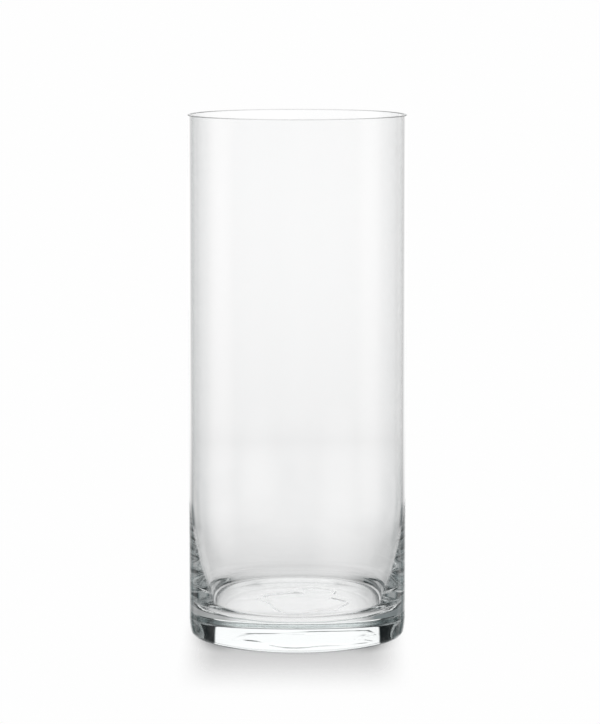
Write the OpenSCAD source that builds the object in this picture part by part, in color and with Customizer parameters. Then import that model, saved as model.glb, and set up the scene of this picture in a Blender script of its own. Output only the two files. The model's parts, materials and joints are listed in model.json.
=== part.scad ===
// Straight-sided glass cylinder vase with a heavy base, for cut flowers.
// Millimetres, +Z up, with the origin on the axis at the resting plane.
// The vase is one piece of glass. Its three nodes are the zones of that piece, and
// they meet face to face on flat planes: the base, the wall and the rim.

/* [Overall] */
// Height from the resting plane to the top of the rim
vase_h = 305; // [200:1:500]
// Outside diameter of the cylinder
vase_d = 127; // [120:1:200]

/* [Wall and rim] */
// Thickness of the wall above its swell
wall_t = 2; // [1.6:0.1:4]
// Height above the resting plane at which the inside of the wall starts to swell inwards
swell_top = 80; // [60:1:120]
// Radius of the long arc that the swell follows
swell_arc = 265; // [250:5:1200]
// Height of the fire-polished band at the mouth
rim_h = 4; // [3:0.5:8]
// Radius of the two edges of the mouth, softened by the fire
rim_edge_r = 0.6; // [0.3:0.1:0.7]

/* [Base] */
// Thickness of the base from the resting plane to the floor of the well
base_t = 16; // [12:0.5:24]
// Radius of the inside corner between the floor and the wall
corner_r = 10; // [2:0.5:14]
// Radius of the outside corner at the resting plane
heel_r = 3; // [2:0.5:5]
// Height at which the outside starts to draw in towards that corner
heel_top = 11; // [9:0.5:14]
// Radius of the long arc that it draws in along
heel_arc = 45; // [30:1:120]
// Radius of the shallow hollow in the underside, inside the flat ring that it stands on
hollow_r = 55; // [52:1:57]
// Depth of that hollow at the axis
hollow_depth = 1; // [0.8:0.1:1.1]
// Radius of the long arc across the hollow
hollow_arc = 1300; // [1000:50:1450]

/* [Hidden] */
$fn = 180;
// The long arcs are short stretches of large circles, so those are drawn finer.
long_arc_fn = 1440;
glass_tint = [0.86, 0.93, 0.92, 0.4];

outer_r = vase_d / 2;
bore_r = outer_r - wall_t;
rim_z = vase_h - rim_h;
// The base ends, and the wall starts, this far above the top of the inside corner.
seam_z = base_t + corner_r + 4;
// The edge of the hollow turns back along an arc of this radius, which touches both the
// long arc and the resting plane. The two arcs meet at hollow_joint_x.
hollow_edge_arc = (pow(hollow_r, 2) + pow(hollow_depth, 2)) / (2 * hollow_depth) - hollow_arc;
hollow_joint_x = hollow_r * hollow_arc / (hollow_arc + hollow_edge_arc);

// Area from the axis out to a side that is upright above the height top, draws in along a
// long arc below it, and turns onto the given level by a short arc. The short arc's circle
// touches the long arc's from within, so it is drawn whole.
module turned_in(x, top, long_r, short_r, level, height) {
    drop = top - level - short_r;
    long_x = x - long_r;
    short_x = long_x + sqrt(pow(long_r - short_r, 2) - pow(drop, 2));
    joint_z = top - drop * long_r / (long_r - short_r);
    translate([0, top]) square([x, height - top]);
    intersection() {
        translate([long_x, top]) circle(long_r, $fn = long_arc_fn);
        translate([0, joint_z]) square([x, top - joint_z]);
    }
    translate([0, level]) square([short_x, top - level]);
    translate([short_x, level + short_r]) circle(short_r);
}

// Half of the section of the hollow, from below the resting plane.
module hollow_section() {
    intersection() {
        translate([0, hollow_depth - hollow_arc]) circle(hollow_arc, $fn = long_arc_fn);
        translate([0, -1]) square([hollow_joint_x, hollow_depth + 2]);
    }
    difference() {
        translate([hollow_joint_x, -1]) square([hollow_r - hollow_joint_x, hollow_depth + 1]);
        translate([hollow_r, hollow_edge_arc]) circle(hollow_edge_arc, $fn = long_arc_fn);
    }
}

// Half of the whole glass's section, from the resting plane to the rim's band.
module glass_section() {
    difference() {
        turned_in(outer_r, heel_top, heel_arc, heel_r, 0, rim_z);
        turned_in(bore_r, swell_top, swell_arc, corner_r, base_t, vase_h);
        hollow_section();
    }
}

// One zone of the glass, between two heights.
module glass_ring(from_z, to_z) {
    rotate_extrude()
        intersection() {
            glass_section();
            translate([0, from_z]) square([outer_r + 1, to_z - from_z]);
        }
}

// The thick bottom: underside, heel, floor and the inside corner.
module base() {
    color(glass_tint) glass_ring(0, seam_z);
}

// The thin blown cylinder, which swells a little where it nears the base.
module wall() {
    color(glass_tint) glass_ring(seam_z, rim_z);
}

// The mouth's last few millimetres, cut flat, with both edges softened.
module rim() {
    side_z = vase_h - rim_edge_r;
    color(glass_tint)
        rotate_extrude() {
            translate([bore_r, rim_z]) square([wall_t, rim_h - rim_edge_r]);
            translate([bore_r + rim_edge_r, side_z]) square([wall_t - 2 * rim_edge_r, rim_edge_r]);
            translate([bore_r + rim_edge_r, side_z]) circle(rim_edge_r);
            translate([outer_r - rim_edge_r, side_z]) circle(rim_edge_r);
        }
}

base();
wall();
rim();
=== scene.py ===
"""Looks for the glass cylinder vase: one continuous lathe-made glass, studio stage, light and camera."""

import json
import math

import bpy
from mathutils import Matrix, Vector, noise


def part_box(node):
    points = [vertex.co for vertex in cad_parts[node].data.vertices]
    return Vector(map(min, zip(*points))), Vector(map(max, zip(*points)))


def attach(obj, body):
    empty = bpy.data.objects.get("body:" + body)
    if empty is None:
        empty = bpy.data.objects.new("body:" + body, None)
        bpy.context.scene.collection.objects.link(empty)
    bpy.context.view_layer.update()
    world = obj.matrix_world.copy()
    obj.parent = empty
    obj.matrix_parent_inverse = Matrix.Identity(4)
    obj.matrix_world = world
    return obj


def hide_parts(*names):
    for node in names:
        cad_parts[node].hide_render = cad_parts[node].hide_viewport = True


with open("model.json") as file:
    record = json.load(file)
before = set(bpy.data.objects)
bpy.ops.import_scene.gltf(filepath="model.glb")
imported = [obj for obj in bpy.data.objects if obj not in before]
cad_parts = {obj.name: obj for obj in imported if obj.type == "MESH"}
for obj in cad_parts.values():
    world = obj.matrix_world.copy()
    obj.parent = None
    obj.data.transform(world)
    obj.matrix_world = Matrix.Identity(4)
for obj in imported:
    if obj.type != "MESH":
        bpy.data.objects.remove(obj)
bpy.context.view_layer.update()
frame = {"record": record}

# Lengths are in metres and angles in degrees.
# Driving dimensions, from the frame.
MOUNTS = {m["name"]: m for m in frame["record"]["mounts"]}
OUTER_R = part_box("base")[1].x
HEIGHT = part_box("rim")[1].z
BORE_R = MOUNTS["mouth"]["dims"]["r_mm"] / 1000
FLOOR_Z = MOUNTS["floor"]["pos_m"][2]
# The heel: a long arc from HEEL_TOP down, and a short one onto the table.
HEEL_R = 0.003
HEEL_TOP = 0.011
HEEL_ARC = 0.045
# The inside, where the wall swells from SWELL_TOP down and turns onto the floor.
CORNER_R = 0.010
SWELL_TOP = 0.080
SWELL_ARC = 0.265
# The shallow hollow underneath.
HOLLOW_R = 0.055
HOLLOW_DEPTH = 0.001
HOLLOW_ARC = 1.3
# The softened edges of the mouth.
RIM_EDGE_R = 0.0006
# The chill mark on the underside: a crooked ring, a little proud of the glass around it.
MARK_R = 0.024
MARK_WIDTH = 0.0025
MARK_HEIGHT = 0.00027
# How far it strays from a true ring, how many times a metre it turns, and which of its shapes is used.
MARK_WANDER = 0.018
MARK_TURNS = 60
MARK_SEED = 15.0
# The fine ripple inside the mark, and how softly it ends there.
RIPPLE_HEIGHT = 0.000012
RIPPLE_TURNS = 260
RIPPLE_FADE = 0.0015
# Points around the vase.
SEGMENTS = 360
# The glass.
GLASS_IOR = 1.52
ABSORPTION_COLOR = (0.6, 0.85, 0.84, 1)
ABSORPTION_DENSITY = 0.8
# The camera.
CAMERA_PLACE = (0.0016, -1.892, 0.3961)
CAMERA_DOWN = 7.10
CAMERA_LENS_MM = 162.3
# Light that the glass guides along its wall turns many times before it leaves.
LIGHT_BOUNCES = 96


def arc(cx, cz, r, start, end, steps, outward=1):
    """Points of the profile along an arc, each with the glass's normal there: (x, z, nx, nz)."""
    points = []
    for i in range(steps + 1):
        a = math.radians(start + (end - start) * i / steps)
        c, s = math.cos(a), math.sin(a)
        points.append((cx + r * c, cz + r * s, outward * c, outward * s))
    return points


def line(a, b, steps):
    """Points along a straight stretch of the profile, without its ends."""
    fractions = [i / steps for i in range(1, steps)]
    return [(a[0] + (b[0] - a[0]) * f, a[1] + (b[1] - a[1]) * f, a[2], a[3]) for f in fractions]


def turned_in(x, top, long_r, short_r, level, steps, outward):
    """A side that leaves the vertical at (x, top) by a long arc, and reaches the level by a short one."""
    drop = top - level - short_r
    long_x = x - long_r
    short_x = long_x + math.sqrt((long_r - short_r) ** 2 - drop ** 2)
    turn = math.degrees(math.atan2(-drop, short_x - long_x))
    side = arc(long_x, top, long_r, 0, turn, steps, outward)
    return side + arc(short_x, level + short_r, short_r, turn, -90, steps, outward)[1:]


def underside_profile():
    """The shallow hollow, from the axis out to the flat ring that the vase stands on."""
    # The edge of the hollow turns back along an arc of its own, so it leaves no crease there.
    edge_arc = (HOLLOW_R ** 2 + HOLLOW_DEPTH ** 2) / (2 * HOLLOW_DEPTH) - HOLLOW_ARC
    slope = math.degrees(math.asin(HOLLOW_R / (HOLLOW_ARC + edge_arc)))
    hollow = arc(0, HOLLOW_DEPTH - HOLLOW_ARC, HOLLOW_ARC, 90, 90 - slope, 60, -1)
    return hollow + arc(HOLLOW_R, edge_arc, edge_arc, 270 - slope, 270, 12)[1:]


def sides_profile(start):
    """The rest of the outline: out and up the outside, over the rim, and down the inside to the floor."""
    heel = turned_in(OUTER_R, HEEL_TOP, HEEL_ARC, HEEL_R, 0, 24, 1)[::-1]
    edge_z = HEIGHT - RIM_EDGE_R
    rim = arc(OUTER_R - RIM_EDGE_R, edge_z, RIM_EDGE_R, 0, 90, 12)
    rim += arc(BORE_R + RIM_EDGE_R, edge_z, RIM_EDGE_R, 90, 180, 12)
    inside = turned_in(BORE_R, SWELL_TOP, SWELL_ARC, CORNER_R, FLOOR_Z, 40, -1)
    floor_end = (0, FLOOR_Z, 0, 1)
    return (
        line(start, heel[0], 8) + heel + line(heel[-1], rim[0], 60) + rim
        + line(rim[-1], inside[0], 50) + inside + line(inside[-1], floor_end, 24) + [floor_end]
    )


def mark_height(x, y):
    """How far the faint, crooked chill mark stands out of the underside at a point."""
    wander = noise.noise(Vector((x * MARK_TURNS + MARK_SEED, y * MARK_TURNS, 0.5)))
    ripple = noise.noise(Vector((x * RIPPLE_TURNS, y * RIPPLE_TURNS + MARK_SEED, 2.5)))
    edge = math.hypot(x, y) - MARK_R - MARK_WANDER * wander
    inner = 1 / (1 + math.exp(min(60, edge / RIPPLE_FADE)))
    return MARK_HEIGHT * math.exp(-((edge / MARK_WIDTH) ** 2)) + RIPPLE_HEIGHT * ripple * inner


def lathe(name, segments):
    """The whole glass as one closed mesh, with the normals of its true curves."""
    underside = underside_profile()
    profile = underside + sides_profile(underside[-1])
    # The first and last points are on the axis. The ones between are rings.
    rings = profile[1:-1]
    verts = [(0, 0, profile[0][1])]
    normals = [(0, 0, -1)]
    step = 0.0001
    for i, (r, z, nr, nz) in enumerate(rings):
        marked = i < len(underside) - 2
        for k in range(segments):
            a = 2 * math.pi * k / segments
            c, s = math.cos(a), math.sin(a)
            x, y = r * c, r * s
            if marked:
                h = mark_height(x, y)
                tilt_x = -nr / nz * c - (mark_height(x + step, y) - h) / step
                tilt_y = -nr / nz * s - (mark_height(x, y + step) - h) / step
                verts.append((x, y, z - h))
                normals.append(Vector((tilt_x, tilt_y, -1)).normalized())
            else:
                verts.append((x, y, z))
                normals.append((nr * c, nr * s, nz))
    verts.append((0, 0, profile[-1][1]))
    normals.append((0, 0, 1))
    last = len(verts) - 1
    top = 1 + (len(rings) - 1) * segments
    faces = []
    for k in range(segments):
        n = (k + 1) % segments
        faces.append((0, 1 + n, 1 + k))
        faces.append((last, top + k, top + n))
        for i in range(len(rings) - 1):
            a, b = 1 + i * segments, 1 + (i + 1) * segments
            faces.append((a + k, a + n, b + n, b + k))
    mesh = bpy.data.meshes.new(name)
    mesh.from_pydata(verts, [], faces)
    for p in mesh.polygons:
        p.use_smooth = True
    mesh.normals_split_custom_set_from_vertices(normals)
    obj = bpy.data.objects.new(name, mesh)
    bpy.context.scene.collection.objects.link(obj)
    return obj


def math_node(nt, op, *values):
    """A Math node on one or two values, each a number or another node's output."""
    n = nt.nodes.new("ShaderNodeMath")
    n.operation = op
    for i, v in enumerate(values):
        if isinstance(v, (int, float)):
            n.inputs[i].default_value = v
        else:
            nt.links.new(v, n.inputs[i])
    return n.outputs[0]


def ramp(nt, value, lo, hi, out_lo=0.0, out_hi=1.0):
    """A smooth step from out_lo at lo to out_hi at hi."""
    n = nt.nodes.new("ShaderNodeMapRange")
    n.interpolation_type = "SMOOTHSTEP"
    nt.links.new(value, n.inputs["Value"])
    n.inputs["From Min"].default_value = lo
    n.inputs["From Max"].default_value = hi
    n.inputs["To Min"].default_value = out_lo
    n.inputs["To Max"].default_value = out_hi
    return n.outputs["Result"]


def fall(nt, value, full, end):
    """1 up to full, easing to 0 at end."""
    return ramp(nt, value, full, end, 1.0, 0.0)


def band(nt, value, lo, lo_full, hi_full, hi):
    """1 between lo_full and hi_full, easing to 0 at lo and hi."""
    return math_node(nt, "MULTIPLY", ramp(nt, value, lo, lo_full), fall(nt, value, hi_full, hi))


def noise_field(nt, place, scale, detail):
    """Soft random patches, scale of them a metre."""
    n = nt.nodes.new("ShaderNodeTexNoise")
    nt.links.new(place, n.inputs["Vector"])
    n.inputs["Scale"].default_value = scale
    n.inputs["Detail"].default_value = detail
    return n.outputs["Fac"]


def glass_material():
    """Clear glass with a faint grey-green in its thickness, smears, scuffs and shallow waves."""
    mat = bpy.data.materials.new("clear_glass")
    mat.use_nodes = True
    nt = mat.node_tree
    bsdf = nt.nodes["Principled BSDF"]
    bsdf.inputs["Base Color"].default_value = (1, 1, 1, 1)
    bsdf.inputs["IOR"].default_value = GLASS_IOR
    bsdf.inputs["Transmission Weight"].default_value = 1.0
    place = nt.nodes.new("ShaderNodeTexCoord").outputs["Object"]
    # Faint smears of handling dull the polish a little, in soft patches.
    smears = noise_field(nt, place, 38.0, 4.0)
    dull = ramp(nt, smears, 0.5, 0.72, 0.0, 0.014)
    # The thick glass that the cold mould pressed is a little less polished than the blown wall.
    split = nt.nodes.new("ShaderNodeSeparateXYZ")
    nt.links.new(place, split.inputs[0])
    pressed = ramp(nt, split.outputs["Z"], 0.02, SWELL_TOP, 0.02, 0.0)
    dull = math_node(nt, "MAXIMUM", dull, pressed)
    # The flat ring it stands on is scuffed by the tables it has stood on.
    scuffs = ramp(nt, noise_field(nt, place, 1100.0, 2.0), 0.42, 0.62, 0.02, 0.12)
    worn = math_node(nt, "MULTIPLY", scuffs, fall(nt, split.outputs["Z"], 0.00002, 0.0002))
    nt.links.new(math_node(nt, "MAXIMUM", dull, worn), bsdf.inputs["Roughness"])
    # Blown glass is never quite true: long shallow waves run through its surface.
    bump = nt.nodes.new("ShaderNodeBump")
    bump.inputs["Strength"].default_value = 0.5
    bump.inputs["Distance"].default_value = 0.00004
    nt.links.new(noise_field(nt, place, 22.0, 1.0), bump.inputs["Height"])
    nt.links.new(bump.outputs["Normal"], bsdf.inputs["Normal"])
    volume = nt.nodes.new("ShaderNodeVolumeAbsorption")
    volume.inputs["Color"].default_value = ABSORPTION_COLOR
    volume.inputs["Density"].default_value = ABSORPTION_DENSITY
    nt.links.new(volume.outputs["Volume"], nt.nodes["Material Output"].inputs["Volume"])
    return mat


def studio_world():
    """The studio around the vase: white backdrop behind, dark room at the sides, soft light overhead."""
    world = bpy.data.worlds.new("studio")
    bpy.context.scene.world = world
    world.use_nodes = True
    nt = world.node_tree
    bg = nt.nodes["Background"]
    direction = nt.nodes.new("ShaderNodeSeparateXYZ")
    nt.links.new(nt.nodes.new("ShaderNodeTexCoord").outputs["Generated"], direction.inputs[0])
    x, y, z = direction.outputs
    # side is how far round to the right from straight behind the vase, az is the same to either side,
    # and el is how far above the horizon.
    side = math_node(nt, "MULTIPLY", math_node(nt, "ARCTAN2", x, y), 180 / math.pi)
    az = math_node(nt, "ABSOLUTE", side)
    el = math_node(nt, "MULTIPLY", math_node(nt, "ARCSINE", z), 180 / math.pi)

    def patch(level, *factors):
        """One soft-edged area of the studio, at its brightness."""
        value = factors[0]
        for f in factors[1:]:
            value = math_node(nt, "MULTIPLY", value, f)
        return math_node(nt, "MULTIPLY", value, level)

    # Behind the vase: the upright backdrop, its curve down to the table, and the table.
    backdrop = patch(1.08, fall(nt, az, 38.5, 40.5), band(nt, el, 0, 9, 19, 28))
    sweep = patch(1.06, fall(nt, az, 14, 44), band(nt, el, -13, -8, 2, 5), ramp(nt, el, -13, -4, 0.83, 1.0))
    table = patch(1.02, fall(nt, az, 8, 32), fall(nt, el, -9, -5), ramp(nt, el, -24, -9, 0.76, 0.97))
    table_wide = patch(0.75, fall(nt, az, 30, 50), fall(nt, el, -19, -15))
    # The room along the horizon, a little lighter on the right, and nearly dark below.
    room_right = patch(0.42, ramp(nt, side, -10, 10), band(nt, el, -11.5, -8, 2, 7))
    room_left = patch(0.25, fall(nt, side, -10, 10), band(nt, el, -11.5, -8, 2, 7))
    room_low = patch(0.1, band(nt, el, -60, -50, 2, 9))
    # Dim patches, low at both edges of the table, and upright ones beside the backdrop.
    corners = patch(0.4, band(nt, az, 28, 36, 42, 50), band(nt, el, -20, -16, -10, -7))
    strips = patch(0.35, band(nt, az, 54, 61, 70, 78), band(nt, el, 2, 6, 14, 18))
    # Pale panels at and below the horizon: beyond the vase at the left, square to its left,
    # and behind the camera at the right.
    low_left = patch(0.85, band(nt, side, -58, -50, -40, -32), band(nt, el, -60, -50, -19, -16))
    panel_left = patch(0.7, band(nt, side, -122, -93, -87, -58), band(nt, el, -30, -20, 0, 4))
    back_right = patch(0.7, band(nt, side, 95, 130, 140, 175), band(nt, el, -50, -40, -9, -6))
    # Soft lights, high at both sides and overhead.
    high_sides = patch(0.45, band(nt, az, 72, 86, 105, 128), band(nt, el, 13, 18, 26, 34))
    ceiling = patch(0.95, ramp(nt, el, 34, 58))
    # Everywhere else is nearly black.
    value = 0.006
    for part in (
        backdrop, sweep, table, table_wide, room_right, room_left, corners, strips, room_low,
        low_left, panel_left, back_right, high_sides, ceiling,
    ):
        value = math_node(nt, "MAXIMUM", value, part)
    # The dark parts of the room are a cool grey.
    tint = nt.nodes.new("ShaderNodeMix")
    tint.data_type = "RGBA"
    direct = nt.nodes.new("ShaderNodeLightPath").outputs["Is Camera Ray"]
    nt.links.new(math_node(nt, "MAXIMUM", ramp(nt, value, 0.05, 0.45), direct), tint.inputs["Factor"])
    tint.inputs["A"].default_value = (0.82, 1.0, 1.04, 1)
    tint.inputs["B"].default_value = (1, 1, 1, 1)
    # The backdrop that the camera sees directly is plain white.
    mix = nt.nodes.new("ShaderNodeMix")
    nt.links.new(direct, mix.inputs[0])
    nt.links.new(value, mix.inputs[2])
    mix.inputs[3].default_value = 0.992
    nt.links.new(tint.outputs["Result"], bg.inputs["Color"])
    nt.links.new(mix.outputs[0], bg.inputs["Strength"])


def stage_floor():
    """A round patch of pale table with a painted shadow pool and a painted glow under the vase; it fades to
    clear beyond the painted pool.
    """
    mesh = bpy.data.meshes.new("studio_floor")
    radius, sides = 0.5, 96
    turns = [2 * math.pi * k / sides for k in range(sides)]
    verts = [(radius * math.cos(a), radius * math.sin(a), 0) for a in turns]
    mesh.from_pydata(verts, [], [tuple(range(sides))])
    obj = bpy.data.objects.new("studio_floor", mesh)
    bpy.context.scene.collection.objects.link(obj)
    obj.location.z = -0.0001
    mat = bpy.data.materials.new("floor_painted_shadow")
    mat.use_nodes = True
    nt = mat.node_tree
    bsdf = nt.nodes["Principled BSDF"]
    bsdf.inputs["Base Color"].default_value = (0.4, 0.4, 0.4, 1)
    bsdf.inputs["Roughness"].default_value = 1.0
    bsdf.inputs["Specular IOR Level"].default_value = 0.0
    bsdf.inputs["Emission Color"].default_value = (1, 1, 1, 1)
    position = nt.nodes.new("ShaderNodeNewGeometry").outputs["Position"]
    length = nt.nodes.new("ShaderNodeVectorMath")
    length.operation = "LENGTH"
    nt.links.new(position, length.inputs[0])
    off_centre = length.outputs["Value"]
    split = nt.nodes.new("ShaderNodeSeparateXYZ")
    nt.links.new(position, split.inputs[0])
    x, y, _ = split.outputs
    off_axis = math_node(nt, "ABSOLUTE", math_node(nt, "ADD", x, 0.002))
    # Under the vase a painted glow: emission stands in for the light that the thick glass gathers on the
    # table there.
    painted_glow = ramp(nt, off_centre, 0.054, 0.062, 0.8, 0.45)
    # A painted shadow: a grey pool around the base that reaches forwards, away from the bright backdrop.
    painted_shadow_pool = math_node(nt, "MULTIPLY", fall(nt, off_axis, 0.042, 0.067), fall(nt, y, 0.03, 0.09))
    painted_shadow_pool = math_node(nt, "MULTIPLY", painted_shadow_pool, ramp(nt, y, -0.17, -0.05))
    # A painted contact shadow, darkest where the heel's two dark sides meet the table.
    near = ramp(nt, off_centre, 0.060, 0.076, 0.22, 0.0)
    painted_contact_shadow = math_node(nt, "MULTIPLY", near, ramp(nt, off_axis, 0.03, 0.05))
    nt.links.new(math_node(nt, "SUBTRACT", painted_glow, painted_contact_shadow), bsdf.inputs["Emission Strength"])
    clear = nt.nodes.new("ShaderNodeBsdfTransparent")
    mix = nt.nodes.new("ShaderNodeMixShader")
    nt.links.new(painted_shadow_pool, mix.inputs[0])
    nt.links.new(clear.outputs[0], mix.inputs[1])
    nt.links.new(bsdf.outputs[0], mix.inputs[2])
    nt.links.new(mix.outputs[0], nt.nodes["Material Output"].inputs["Surface"])
    mesh.materials.append(mat)


def studio_camera():
    """A long lens a little above the mouth, looking slightly down."""
    cam = bpy.data.cameras.new("camera")
    cam.sensor_fit = "VERTICAL"
    cam.sensor_height = 36
    cam.lens = CAMERA_LENS_MM
    cam.clip_start = 0.05
    cam.clip_end = 100
    obj = bpy.data.objects.new("camera", cam)
    bpy.context.scene.collection.objects.link(obj)
    obj.location = CAMERA_PLACE
    obj.rotation_euler = (math.radians(90 - CAMERA_DOWN), 0, 0)
    bpy.context.scene.camera = obj


vase = lathe("vase_glass", SEGMENTS)
vase.data.materials.append(glass_material())
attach(vase, "root")
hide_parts("base", "wall", "rim")
studio_world()
stage_floor()
studio_camera()

scene = bpy.context.scene
scene.view_settings.view_transform = "Standard"
scene.cycles.max_bounces = LIGHT_BOUNCES
scene.cycles.transmission_bounces = LIGHT_BOUNCES
scene.cycles.glossy_bounces = LIGHT_BOUNCES
